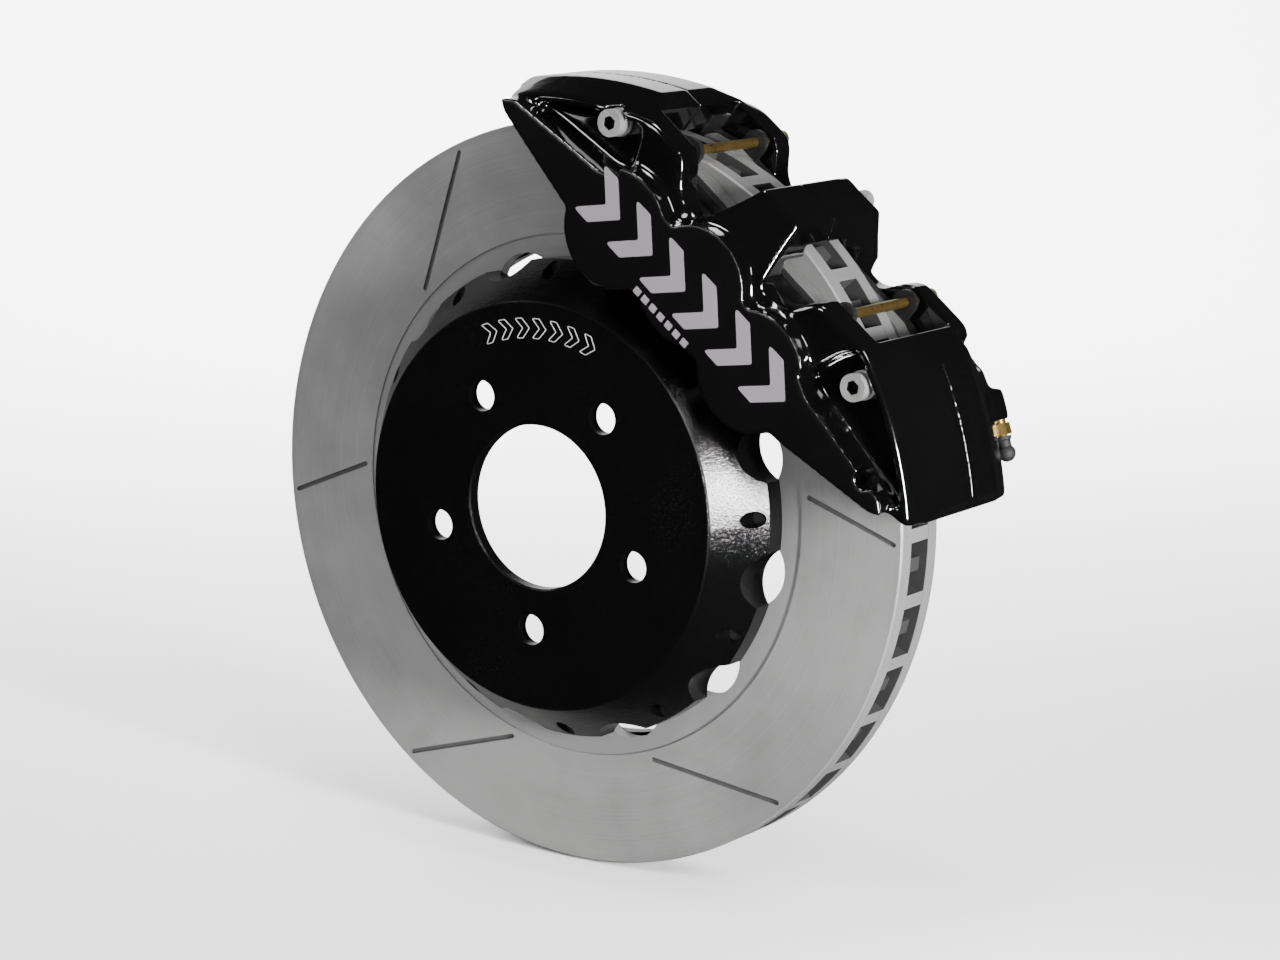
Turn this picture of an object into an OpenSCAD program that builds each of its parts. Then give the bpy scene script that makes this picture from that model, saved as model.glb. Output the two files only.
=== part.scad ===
// Six-piston brake caliper clamping a slotted, ventilated two-piece brake disc.
// World frame: hub face of the hat at y = 0, spin axis on +Y (inboard), +Z up.
// Every module below works in one of two local frames:
//   wheel frame    x right, y up, z outboard, measured from the hub face
//   caliper frame  x along the disc rim, y radial, z outboard from the disc mid-plane

/* [Brake disc] */
// Outer diameter of the brake disc
disc_d = 362; // [340:1:440]
// Overall thickness of the brake disc
disc_t = 31.8; // [26:0.1:38]
// Thickness of each friction plate
plate_t = 8.3; // [6:0.1:9]
// Inner diameter of the swept friction face
swept_d = 254.4; // [240:0.1:290]
// Inner diameter of the inboard friction plate
inner_plate_d = 242; // [241:0.1:250]
// Step from the swept face down to the mounting ring
ring_step = 0.8; // [0.4:0.1:1.5]
// Thickness of the mounting ring
ring_t = 7; // [5:0.1:9]
// Number of long cooling vanes, with a short one between each two
long_vanes = 36; // [24:1:40]
// Thickness of a cooling vane
vane_t = 6.6; // [4:0.1:7]
// How far the short vanes stop inside the rim
short_vane_setback = 4; // [2:0.5:10]
// Chamfer round the rim of the disc
rim_chamfer = 0.8; // [0.4:0.1:1.5]
// Width of a wiper slot in the friction face
slot_w = 2.4; // [1.5:0.1:4]
// Depth of a wiper slot
slot_depth = 1.2; // [0.6:0.1:2]

/* [Hat] */
// Thickness of the hat's face
hat_face_t = 6.35; // [5:0.05:10]
// Distance from the hub face back to the disc's outboard face
hat_offset = 27.5; // [22:0.5:40]
// Diameter of the flat face of the hat
hat_face_d = 197.2; // [190:0.1:205]
// Height of the straight flange of the hat above the disc
hat_flange_h = 9.7; // [7:0.1:12]
// Wall between the hat's inside and its scallops
hat_wall = 6; // [4:0.1:8]
// Diameter of the hub register bore
hub_bore_d = 79; // [60:0.5:90]
// Pitch circle diameter of the wheel studs
lug_pcd = 120; // [108:0.1:130]
// Diameter of a wheel stud hole
lug_hole_d = 15; // [12:0.5:17]
// Number of wheel stud holes
lug_count = 5; // [4:1:6]

/* [Hat bolts] */
// Pitch circle diameter of the bolts that hold the disc to the hat
hat_bolt_pcd = 222.25; // [218:0.05:226]
// Number of those bolts
hat_bolt_count = 12; // [8:1:12]
// Shank diameter of a hat bolt
hat_bolt_d = 7.9; // [6:0.1:8]
// Width across flats of a hat bolt head
hat_bolt_af = 12.7; // [10:0.1:13]
// Height of a hat bolt head
hat_bolt_head_h = 6; // [4:0.1:8]
// Thickness of the washer under a hat bolt
hat_washer_t = 1.5; // [1:0.1:2]
// Radius of the scallops between the bolts, in both hat and disc
scallop_r = 18.5; // [14:0.5:20]

/* [Caliper body] */
// Angle of the caliper's middle above horizontal
caliper_angle = 50; // [0:1:90]
// Half length of the caliper along the rim
caliper_half_l = 147; // [142:1:155]
// Clearance between the disc rim and the bridges
rim_gap = 3; // [2:0.1:5]
// Height of the middle bridge above the rim gap
mid_bridge_t = 10.2; // [9:0.1:14]
// Half width of the middle bridge at its top
mid_bridge_w = 12; // [10:0.5:16]
// Height of the end bridges above the rim, over the pad pins
end_bridge_rise = 3; // [1:0.5:6]
// Radius of the curved outer surface of the end bridges
outer_surface_r = 208; // [200:1:230]
// Shift of that curve's centre towards the trailing end
outer_shift = 5; // [0:0.5:8]
// Fall of that surface from the joint face out to the edge of the deck
crown_drop = 8; // [4:0.5:12]
// Side wall of the caliper, from piston block face out to the bolt deck
side_wall_t = 14.5; // [13:0.5:20]
// Depth of the raised front plate over the side wall
front_plate_t = 9; // [6:0.5:12]
// Radial gap between hat and caliper
hat_gap = 3; // [2:0.1:6]

/* [Pistons] */
// Distance of the outer pistons from the middle one, along the rim
piston_pitch = 47.5; // [44:0.5:50]
// Shift of the piston group towards the leading end
piston_shift = 2.5; // [0:0.5:4]
// Pitch circle radius of the pistons about the disc axis
piston_circle_r = 145; // [142:0.5:150]
// Diameter of the pistons at the leading end
lead_piston_d = 31.8; // [28:0.1:36]
// Diameter of the middle pistons
mid_piston_d = 35; // [30:0.1:38]
// Diameter of the pistons at the trailing end
trail_piston_d = 38.1; // [32:0.1:40]
// Length of a piston
piston_l = 17; // [14:0.5:18]
// Wall of the hollow piston cup
piston_wall = 4; // [3:0.1:6]
// Radius of the lobe cast round each piston bore
lobe_r = 28.5; // [26:0.5:30]
// Radial depth of the seal groove
seal_depth = 3; // [2:0.1:4]
// Width of the square-cut seal
seal_w = 3; // [2:0.1:4]

/* [Brake pads] */
// Thickness of the friction lining
lining_t = 9; // [5:0.5:10]
// Thickness of the steel backing plate
backing_t = 5.5; // [4:0.1:7]
// Running gap between lining and disc when the brake is off
pad_gap = 0.6; // [0.3:0.05:1]
// Room behind the backing plate for the pads to be pushed back
pad_retract = 1.5; // [0.8:0.1:3]
// Half length of a backing plate
pad_half_l = 74.7; // [70:0.1:78]
// How far the top of the lining lies below the disc rim
pad_top_drop = 10; // [6:0.5:16]
// Thickness of the stainless wear plates that the pads slide on
wear_plate_t = 0.8; // [0.5:0.1:1.2]
// Diameter of a pad pin
pad_pin_d = 4.8; // [4:0.1:6.4]
// Distance of each pad pin from the middle, along the rim
pad_pin_u = 54; // [50:0.5:60]

/* [Fasteners and ports] */
// Distance of each end body bolt from the middle, along the rim
body_bolt_u = 86; // [85:0.5:92]
// Shank diameter of the end body bolts
body_bolt_d = 8; // [6:0.1:8.5]
// Shank diameter of the bolt in the middle bridge
mid_bolt_d = 6; // [5:0.1:6.5]
// Centre distance of the two radial mounting holes
mount_spacing = 177.8; // [176:0.1:186]
// Diameter of a radial mounting hole
mount_hole_d = 10; // [8:0.1:10.5]
// Diameter of the brake hose inlet
inlet_d = 9.7; // [8:0.1:10.5]
// Angle of the lower bleed screw from the middle, about the centre of the outer surface
lower_bleed_a = 33; // [28:1:36]
// Angle of the upper bleed screw from the middle
upper_bleed_a = 37; // [32:1:40]
// Distance of the lower bleed screw outside the crowned edge of the deck
lower_bleed_rise = -1; // [-4:0.5:1]
// Distance of the upper bleed screw outside that edge
upper_bleed_rise = -6; // [-7:0.5:-4]

/* [Hidden] */
$fn = 96;
eps = 0.2;                        // run-out of a cut past the face that it opens
slip = 0.05;                      // radial clearance of a running or located fit
// Brake disc
disc_r = disc_d / 2;
swept_r = swept_d / 2;
disc_mid = hat_offset + disc_t / 2;
ring_face = hat_offset + ring_step;
ring_back = ring_face + ring_t;
vent_w = disc_t - 2 * plate_t;
ring_inner_r = 103;
scallop_in_c = swept_r - 6.9 - scallop_r;
slot_places = [[2.5, -7], [63, 18], [124, -21], [182, 6], [243, -18], [300, 21]];
slot_end_gap = 4.5;               // from each slot end to the edge of the swept face
// Hat
hub_r = hub_bore_d / 2;
hat_face_r = hat_face_d / 2;
hat_bolt_r = hat_bolt_pcd / 2;
hat_flange_r = hat_bolt_r + 4.9;
scallop_out_c = ring_inner_r + hat_wall + scallop_r;
hat_bolt_a = 1.9;
hat_bolt_step = 360 / hat_bolt_count;
scallop_a = hat_bolt_a + hat_bolt_step / 2;
lug_a = -21.6;
hat_shoulder = hat_offset - hat_flange_h;
// Caliper, outboard distances from the disc mid-plane
disc_face = disc_t / 2;
pad_back = disc_face + pad_gap + lining_t + backing_t;
block_face = pad_back + pad_retract;
deck_face = block_face + side_wall_t;
plate_face = deck_face + front_plate_t;
bore_floor = pad_back + piston_l + pad_retract + 0.5;
slot_half = disc_face + 1.6;      // half width of the slot that the disc runs in
rim_clear_r = disc_r + rim_gap;
mid_bridge_top = rim_clear_r + mid_bridge_t;
wall_foot = piston_circle_r - 13;
nose_top = disc_r + end_bridge_rise;
outer_c = nose_top + 21 - outer_surface_r;
abutment_u = pad_half_l + wear_plate_t + 0.5;
function on_piston_circle(u) = [u, sqrt(pow(piston_circle_r, 2) - pow(u, 2))];
PISTONS = [
    concat(on_piston_circle(-piston_shift - piston_pitch), lead_piston_d / 2),
    concat(on_piston_circle(-piston_shift), mid_piston_d / 2),
    concat(on_piston_circle(-piston_shift + piston_pitch), trail_piston_d / 2)
];
pad_pin_r = pad_pin_d / 2;
pad_pin_v = nose_top - 6;
groove_r = pad_pin_r - 0.6;       // groove and clip that keep a pad pin in place
clip_low = block_face - 1.3;
clip_high = block_face - 0.3;
pad_top_v = disc_r - pad_top_drop;
body_bolt_r = body_bolt_d / 2;
body_bolt_v = sqrt(pow(rim_clear_r + body_bolt_r + 0.6, 2) - pow(body_bolt_u, 2));
bolt_seat = deck_face - 7.5;      // floor of the pocket that a body bolt sits in
body_bolt_end = -(block_face - 5);
mid_bolt_r = mid_bolt_d / 2;
mid_bolt_v = rim_clear_r + mid_bridge_t / 2;
mid_bolt_seat = block_face + 8;
mount_u = mount_spacing / 2;
mount_r = mount_hole_d / 2;
mount_s = -(block_face + 7.5);
mount_foot_v = wall_foot - 6;
mount_top_v = nose_top - 10;      // spot face for the mounting nut
inlet_u = -body_bolt_u - 20;
inlet_v = piston_circle_r - 2;
edge_r = outer_surface_r - crown_drop;
LOWER_BLEED = [lower_bleed_a, edge_r + lower_bleed_rise, 1];
UPPER_BLEED = [-upper_bleed_a, edge_r + upper_bleed_rise, -1];
spanner_r = 7;                    // room round a bleed screw for a spanner
bleed_shank_r = 3;
bleed_s = -(deck_face + 1.5);
port_u = body_bolt_u + 26;        // fluid gallery that crosses the joint face
port_v = body_bolt_v - 14;
plug_u = port_u + 7;
plug_v = piston_circle_r - 1;

// ---- frames and small shared shapes ----

module wheel_frame() {
    rotate([90, 0, 0]) children();
}

module caliper_frame() {
    wheel_frame() rotate([0, 0, caliper_angle - 90]) translate([0, 0, -disc_mid]) children();
}

module both_ends() {
    children();
    mirror([1, 0, 0]) children();
}

module inboard() {
    mirror([0, 0, 1]) children();
}

module disc_between(r, low, high) {
    translate([0, 0, low]) cylinder(r = r, h = high - low);
}

module ring_between(outer, inner, low, high) {
    difference() {
        disc_between(outer, low, high);
        disc_between(inner, low - eps, high + eps);
    }
}

module at(u, v) {
    translate([u, v, 0]) children();
}

module slab(low, high) {
    translate([0, 0, low]) linear_extrude(height = high - low) children();
}

// ---- brake disc and hat ----

module scallops(centre_r, low, high) {
    for (k = [0 : hat_bolt_count - 1])
        rotate([0, 0, scallop_a + k * hat_bolt_step]) at(centre_r, 0)
            disc_between(scallop_r, low, high);
}

module at_hat_bolts() {
    for (k = [0 : hat_bolt_count - 1])
        rotate([0, 0, hat_bolt_a + k * hat_bolt_step]) at(hat_bolt_r, 0) children();
}

module friction_plates() {
    front = -hat_offset;
    back = -(hat_offset + disc_t);
    rotate_extrude() polygon([
        [swept_r, front], [disc_r - rim_chamfer, front], [disc_r, front - rim_chamfer],
        [disc_r, front - plate_t], [swept_r - 3, front - plate_t],
        [swept_r - 3, -ring_back], [ring_inner_r, -ring_back], [ring_inner_r, -ring_face],
        [swept_r, -ring_face]
    ]);
    rotate_extrude() polygon([
        [inner_plate_d / 2, back], [disc_r - rim_chamfer, back], [disc_r, back + rim_chamfer],
        [disc_r, back + plate_t], [inner_plate_d / 2, back + plate_t]
    ]);
}

module vanes() {
    overlap = 0.3;
    start = swept_r - 3;
    for (k = [0 : 2 * long_vanes - 1]) {
        reach = disc_r - 0.2 - (k % 2) * short_vane_setback;
        rotate([0, 0, k * 180 / long_vanes])
            translate([start, -vane_t / 2, -disc_mid - vent_w / 2 - overlap])
                cube([reach - start, vane_t, vent_w + 2 * overlap]);
    }
}

module wiper_slot(middle, slant) {
    inner = swept_r + slot_end_gap;
    outer = disc_r - slot_end_gap;
    p = inner * [cos(middle - slant / 2), sin(middle - slant / 2)];
    q = outer * [cos(middle + slant / 2), sin(middle + slant / 2)];
    run = q - p;
    translate([p[0], p[1], -hat_offset - slot_depth]) {
        cylinder(d = slot_w, h = slot_depth + eps);
        rotate([0, 0, atan2(run[1], run[0])]) translate([0, -slot_w / 2, 0])
            cube([norm(run), slot_w, slot_depth + eps]);
    }
    translate([q[0], q[1], -hat_offset - slot_depth]) cylinder(d = slot_w, h = slot_depth + eps);
}

module brake_disc() color([0.6, 0.6, 0.6]) wheel_frame() difference() {
    union() {
        friction_plates();
        vanes();
    }
    scallops(scallop_in_c, -ring_back - eps, -ring_face + eps);
    at_hat_bolts() disc_between(hat_bolt_d / 2 + 0.3, -ring_back - eps, -ring_face + eps);
    for (s = slot_places) wiper_slot(s[0], s[1]);
    for (s = slot_places) translate([0, 0, -2 * disc_mid]) mirror([0, 0, 1]) wiper_slot(s[0], s[1]);
}

module disc_hat() color([0.05, 0.05, 0.06]) wheel_frame() difference() {
    chamfer = 0.8;
    inner_top_r = hat_face_r - 4;
    rotate_extrude() polygon([
        [hub_r, 0], [hub_r, hat_face_t - chamfer], [hub_r + chamfer, hat_face_t],
        [hat_face_r - chamfer, hat_face_t], [hat_face_r, hat_face_t - chamfer],
        [hat_flange_r, -hat_shoulder], [hat_flange_r, -ring_face], [ring_inner_r, -ring_face],
        [ring_inner_r, -hat_shoulder + 6], [inner_top_r, 0]
    ]);
    scallops(scallop_out_c, -ring_face - eps, hat_face_t);
    at_hat_bolts() disc_between(hat_bolt_d / 2 + slip, -ring_face - eps, hat_face_t);
    for (k = [0 : lug_count - 1])
        rotate([0, 0, lug_a + k * 360 / lug_count]) at(lug_pcd / 2, 0)
            disc_between(lug_hole_d / 2, -eps, hat_face_t + eps);
}

module hat_bolts() color("silver") wheel_frame() at_hat_bolts() {
    under_head = -ring_back - hat_washer_t;
    disc_between(hat_bolt_d / 2, under_head, -hat_shoulder + 0.5);
    difference() {
        translate([0, 0, under_head - hat_bolt_head_h])
            cylinder(d = hat_bolt_af / cos(30), h = hat_bolt_head_h, $fn = 6);
        disc_between(hat_bolt_af / 4, under_head - hat_bolt_head_h - eps, under_head - 3);
    }
}

module hat_bolt_washers() color("gainsboro") wheel_frame() at_hat_bolts() {
    ring_between(hat_bolt_af * 0.55, hat_bolt_d / 2 + 0.2, -ring_back - hat_washer_t, -ring_back);
}

// ---- caliper halves ----

// The points mirrored to the leading end and put in reverse order.
function mirrored_points(list) =
    [for (k = [len(list) - 1 : -1 : 0]) [-list[k][0], list[k][1]]];

// Outline of the raised plate over the pistons: three lobes and two tapering arms.
module front_outline() {
    for (p = PISTONS) translate([p[0], p[1]]) circle(r = lobe_r);
    low = piston_circle_r - 24;
    high = piston_circle_r + 14.5;
    tip = piston_circle_r - 7;
    bottom = [
        [caliper_half_l - 11, tip], [caliper_half_l - 17, tip - 3.5], [80, low + 4.5],
        [piston_pitch, low]
    ];
    top = [
        [piston_pitch, high], [66, high - 5], [74, high - 9], [90, high - 11],
        [caliper_half_l - 17, tip + 5]
    ];
    polygon(concat(bottom, mirrored_points(bottom), mirrored_points(top), top));
}

// Outline of the side wall: low saddles beside the middle bridge, noses over the pad pins.
module wall_outline() {
    saddle = nose_top - 17;
    half = [
        [20, saddle], [33, saddle], [39, saddle + 4], [45, nose_top - 4], [50, nose_top],
        [caliper_half_l + 3, nose_top], [caliper_half_l + 3, wall_foot + 10],
        [caliper_half_l - 3, wall_foot + 5], [80, wall_foot]
    ];
    polygon(concat(half, mirrored_points(half)));
}

// The crowned outer surface that trims the end bridges, and the flat end faces.
module outer_envelope() {
    crown_start = slot_half + 4;
    intersection() {
        at(outer_shift, outer_c) rotate_extrude() polygon([
            [0, -1], [outer_surface_r, -1], [outer_surface_r, crown_start],
            [edge_r, deck_face], [0, deck_face]
        ]);
        translate([-caliper_half_l, 0, -1])
            cube([2 * caliper_half_l, mid_bridge_top + 1, deck_face + 1]);
    }
}

module end_bridge() {
    slab(0, block_face + 1) polygon([
        [abutment_u, nose_top], [caliper_half_l + 3, nose_top],
        [caliper_half_l + 3, wall_foot + 10], [caliper_half_l - 3, wall_foot + 5],
        [abutment_u, wall_foot]
    ]);
}

// Middle bridge: a trapezoid seen along the axis, sloping down to the middle lobe.
module mid_bridge(flat) {
    base_v = piston_circle_r + 10;
    intersection() {
        slab(0, plate_face) polygon([
            [-mid_bridge_w, mid_bridge_top], [mid_bridge_w, mid_bridge_top],
            [mid_bridge_w + 4, rim_clear_r - 2], [mid_bridge_w + 15, base_v],
            [-mid_bridge_w - 15, base_v], [-mid_bridge_w - 4, rim_clear_r - 2]
        ]);
        rotate([0, -90, 0]) translate([0, 0, -40]) linear_extrude(height = 80) polygon([
            [0, rim_clear_r - 6], [0, mid_bridge_top], [flat, mid_bridge_top],
            [flat + 0.25 * (deck_face - flat) + 12, piston_circle_r + lobe_r - 3],
            [plate_face - 6, base_v],
            [block_face, base_v], [block_face, rim_clear_r - 6]
        ]);
    }
}

module hat_clearance() {
    top = disc_mid + hat_face_t + hat_gap;
    shoulder = disc_mid - hat_shoulder + hat_gap / 2;
    rotate_extrude() polygon([
        [0, -top], [hat_face_r + hat_gap, -top], [hat_flange_r + hat_gap, -shoulder],
        [hat_flange_r + hat_gap, shoulder], [hat_face_r + hat_gap, top], [0, top]
    ]);
}

module half_blank(bridge_flat) {
    intersection() {
        union() {
            slab(block_face, deck_face) wall_outline();
            both_ends() end_bridge();
        }
        outer_envelope();
    }
    slab(block_face, plate_face) front_outline();
    mid_bridge(bridge_flat);
}

// Pocket in the deck round an end body bolt, between the front plate and the outer ridge.
module bolt_pockets() {
    arm_top = piston_circle_r + 3.5;
    intersection() {
        both_ends() slab(bolt_seat, plate_face + 1) polygon([
            [64, arm_top + 7], [70, nose_top - 12], [78, nose_top], [caliper_half_l, nose_top],
            [caliper_half_l - 10, arm_top - 7.5], [caliper_half_l - 17, arm_top - 5.2], [90, arm_top],
            [74, arm_top + 2]
        ]);
        at(outer_shift, outer_c)
            disc_between(edge_r - 3.5, bolt_seat, plate_face + 1);
    }
    both_ends() at(body_bolt_u, body_bolt_v) disc_between(body_bolt_d * 0.95, bolt_seat, plate_face);
}

module piston_bores() {
    for (p = PISTONS) at(p[0], p[1]) {
        disc_between(p[2] + slip, block_face - eps, bore_floor);
        disc_between(p[2] + seal_depth, block_face - eps, block_face + seal_w);
        disc_between(p[2] + seal_depth, block_face + 2 * seal_w, block_face + 3 * seal_w);
    }
}

module half_cuts() {
    hat_clearance();
    disc_between(rim_clear_r, -slot_half, slot_half);
    piston_bores();
    both_ends() at(port_u, port_v) disc_between(2, -eps, block_face + 4);
}

module outboard_caliper_half() color([0.04, 0.04, 0.04]) caliper_frame() difference() {
    half_blank(block_face - 0.8);
    half_cuts();
    bolt_pockets();
    both_ends() {
        at(body_bolt_u, body_bolt_v) disc_between(body_bolt_r + 0.3, -eps, plate_face);
        at(pad_pin_u, pad_pin_v) disc_between(pad_pin_r + slip, 0, deck_face - 3);
        at(port_u, port_v) ring_between(4, 2, -eps, 1.2);
    }
    at(0, mid_bolt_v) disc_between(mid_bolt_r + slip, -eps, block_face - 6);
    at(plug_u, plug_v) disc_between(4.5, plate_face - 7, plate_face + 1);
}

module mounting_foot() {
    translate([mount_u, mount_foot_v, mount_s]) rotate([-90, 0, 0]) cylinder(r = 10, h = 32);
}

// Origin on a bleed screw's axis, with z along the screw, out towards the end of the caliper.
module bleed_frame(place) {
    translate([outer_shift, outer_c, bleed_s]) rotate([0, 0, -place[0]]) translate([0, place[1], 0])
        rotate([0, 90 * place[2], 0]) children();
}

module inboard_caliper_half() color([0.04, 0.04, 0.04]) caliper_frame() difference() {
    union() {
        inboard() half_blank(mid_bolt_seat);
        both_ends() mounting_foot();
        for (place = [LOWER_BLEED, UPPER_BLEED]) bleed_frame(place) disc_between(5.5, -9, 7);
    }
    inboard() half_cuts();
    both_ends() {
        at(body_bolt_u, body_bolt_v) disc_between(body_bolt_r + slip, body_bolt_end - 1, eps);
        at(pad_pin_u, pad_pin_v) disc_between(pad_pin_r + slip, -plate_face, 0);
        translate([mount_u, mount_foot_v - eps, mount_s]) rotate([-90, 0, 0])
            cylinder(r = mount_r, h = 80);
        translate([mount_u, mount_top_v, mount_s]) rotate([-90, 0, 0]) cylinder(r = 9, h = 30);
    }
    for (place = [LOWER_BLEED, UPPER_BLEED]) bleed_frame(place) {
        disc_between(bleed_shank_r + slip, -6, 7 + eps);
        disc_between(spanner_r, 7, 45);
    }
    at(0, mid_bolt_v) {
        disc_between(mid_bolt_r + 0.3, -plate_face, eps);
        disc_between(mid_bolt_d * 1.1, -plate_face, -mid_bolt_seat);
    }
    at(inlet_u, inlet_v) disc_between(inlet_d / 2, -plate_face - 1, -plate_face + 10);
}

// ---- fasteners ----

module socket_screw(shank_r, head_r, head_h, seat, tip) {
    difference() {
        union() {
            disc_between(shank_r, tip, seat + 0.5);
            disc_between(head_r, seat, seat + head_h);
        }
        translate([0, 0, seat + head_h / 2]) cylinder(r = head_r * 0.55, h = head_h, $fn = 6);
    }
}

module end_body_bolts() color("silver") caliper_frame() both_ends() at(body_bolt_u, body_bolt_v)
    socket_screw(body_bolt_r, body_bolt_d * 0.8, body_bolt_d, bolt_seat + 1.5, body_bolt_end);

module end_body_bolt_washers() color("gainsboro") caliper_frame() both_ends()
    at(body_bolt_u, body_bolt_v)
        ring_between(body_bolt_d * 0.85, body_bolt_r + 0.2, bolt_seat, bolt_seat + 1.5);

module bridge_bolt() color("silver") caliper_frame() inboard() at(0, mid_bolt_v)
    socket_screw(mid_bolt_r, mid_bolt_d * 0.85, mid_bolt_d, mid_bolt_seat, -block_face + 8);

module crossover_seals() color([0.1, 0.1, 0.1]) caliper_frame() both_ends() at(port_u, port_v)
    ring_between(4 - slip, 2 + slip, 0, 1.2);

module gallery_plug() color("dimgray") caliper_frame() at(plug_u, plug_v) difference() {
    disc_between(4.5 - slip, plate_face - 7, plate_face - 1);
    translate([0, 0, plate_face - 3]) cylinder(r = 2.4, h = 4, $fn = 6);
}

// ---- pistons, seals and boots ----

module piston(p) {
    at(p[0], p[1]) difference() {
        disc_between(p[2], pad_back, pad_back + piston_l);
        disc_between(p[2] - piston_wall, pad_back - eps, pad_back + piston_l - piston_wall);
    }
}

module outboard_leading_piston() color("silver") caliper_frame() piston(PISTONS[0]);
module outboard_middle_piston() color("silver") caliper_frame() piston(PISTONS[1]);
module outboard_trailing_piston() color("silver") caliper_frame() piston(PISTONS[2]);
module inboard_leading_piston() color("silver") caliper_frame() inboard() piston(PISTONS[0]);
module inboard_middle_piston() color("silver") caliper_frame() inboard() piston(PISTONS[1]);
module inboard_trailing_piston() color("silver") caliper_frame() inboard() piston(PISTONS[2]);

module piston_rings(low) {
    for (p = PISTONS) at(p[0], p[1])
        ring_between(p[2] + seal_depth - slip, p[2] + slip, low, low + seal_w);
}

module outboard_piston_seals() color("black") caliper_frame() piston_rings(block_face + 2 * seal_w);
module inboard_piston_seals() color("black") caliper_frame() inboard()
    piston_rings(block_face + 2 * seal_w);
module outboard_dust_boots() color("black") caliper_frame() piston_rings(block_face);
module inboard_dust_boots() color("black") caliper_frame() inboard() piston_rings(block_face);

// ---- pads, pins and wear plates ----

module pad_shape(low, high, half_l) {
    foot = swept_r - 5;
    difference() {
        slab(low, high) polygon([
            [-half_l, foot], [half_l, foot], [half_l, pad_top_v - 4], [half_l - 12, pad_top_v],
            [12 - half_l, pad_top_v], [-half_l, pad_top_v - 4]
        ]);
        disc_between(swept_r + 0.8, low - eps, high + eps);
    }
}

// Steel plate with two ears on the pad pins, thinned there to leave room for the clips.
module backing_plate() {
    low = pad_back - backing_t;
    ear_r = pad_pin_r + 3.6;
    ear_back = pad_back - 2.4;
    difference() {
        union() {
            pad_shape(low, pad_back, pad_half_l);
            both_ends() at(pad_pin_u, pad_pin_v) {
                disc_between(ear_r, low, ear_back);
                translate([-ear_r, pad_top_v - pad_pin_v - 1, low])
                    cube([2 * ear_r, pad_pin_v - pad_top_v + 1, ear_back - low]);
            }
        }
        both_ends() at(pad_pin_u, pad_pin_v) disc_between(pad_pin_r + 0.3, low - eps, pad_back + eps);
    }
}

module lining() {
    low = disc_face + pad_gap;
    difference() {
        pad_shape(low, low + lining_t, pad_half_l - 2);
        translate([-1, swept_r - 10, low - eps]) cube([2, disc_d, lining_t * 0.7]);
    }
}

module outboard_backing_plate() color([0.3, 0.3, 0.3]) caliper_frame() backing_plate();
module outboard_lining() color([0.4, 0.4, 0.38]) caliper_frame() lining();
module inboard_backing_plate() color([0.3, 0.3, 0.3]) caliper_frame() inboard() backing_plate();
module inboard_lining() color([0.4, 0.4, 0.38]) caliper_frame() inboard() lining();

module pad_pin() {
    difference() {
        union() {
            disc_between(pad_pin_r, -deck_face - 0.5, deck_face - 3.5);
            disc_between(pad_pin_r + 1.8, -deck_face - 2.5, -deck_face);
        }
        ring_between(pad_pin_r + 1, groove_r, clip_low, clip_high);
    }
}

module upper_pad_pin() color("goldenrod") caliper_frame() at(-pad_pin_u, pad_pin_v) pad_pin();
module lower_pad_pin() color("goldenrod") caliper_frame() at(pad_pin_u, pad_pin_v) pad_pin();

module pad_pin_clips() color("silver") caliper_frame() both_ends() at(pad_pin_u, pad_pin_v)
    difference() {
        ring_between(pad_pin_r + 2, groove_r + slip, clip_low + slip, clip_high - slip);
        translate([0, -1.5, clip_low]) cube([10, 3, clip_high - clip_low]);
    }

module wear_plate() {
    top = sqrt(pow(rim_clear_r, 2) - pow(abutment_u, 2)) + 8;
    edge = abutment_u - wear_plate_t;
    translate([edge, wall_foot + 1, slot_half])
        cube([wear_plate_t, top - wall_foot - 1, block_face - slot_half]);
}

module wear_plates() {
    wear_plate();
    inboard() wear_plate();
}

module upper_wear_plates() color("silver") caliper_frame() mirror([1, 0, 0]) wear_plates();
module lower_wear_plates() color("silver") caliper_frame() wear_plates();

// ---- bleed screws ----

module bleed_screw() color("goldenrod") {
    disc_between(bleed_shank_r, -4, 8);
    translate([0, 0, 7.6]) cylinder(d = 9.2, h = 5.4, $fn = 6);
    disc_between(2.2, 12.5, 19);
}

// Rubber cap with a round knob at its end.
module bleed_cap() color("black") difference() {
    rotate_extrude() polygon(concat(
        [[0, 13.6], [3.9, 13.6], [3.9, 15], [3.1, 15.6], [3.1, 18.4]],
        [for (a = [-45 : 15 : 75]) [4.2 * cos(a), 21.4 + 4.2 * sin(a)]],
        [[0, 25.6]]
    ));
    disc_between(2.2 + slip, 13, 19.4);
}

module upper_bleed_screw() caliper_frame() bleed_frame(UPPER_BLEED) bleed_screw();
module upper_bleed_cap() caliper_frame() bleed_frame(UPPER_BLEED) bleed_cap();
module lower_bleed_screw() caliper_frame() bleed_frame(LOWER_BLEED) bleed_screw();
module lower_bleed_cap() caliper_frame() bleed_frame(LOWER_BLEED) bleed_cap();

brake_disc();
disc_hat();
hat_bolts();
hat_bolt_washers();
outboard_caliper_half();
inboard_caliper_half();
end_body_bolts();
end_body_bolt_washers();
bridge_bolt();
crossover_seals();
outboard_leading_piston();
outboard_middle_piston();
outboard_trailing_piston();
inboard_leading_piston();
inboard_middle_piston();
inboard_trailing_piston();
outboard_piston_seals();
inboard_piston_seals();
outboard_dust_boots();
inboard_dust_boots();
outboard_backing_plate();
outboard_lining();
inboard_backing_plate();
inboard_lining();
upper_pad_pin();
lower_pad_pin();
pad_pin_clips();
upper_wear_plates();
lower_wear_plates();
upper_bleed_screw();
upper_bleed_cap();
lower_bleed_screw();
lower_bleed_cap();
gallery_plug();
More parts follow.
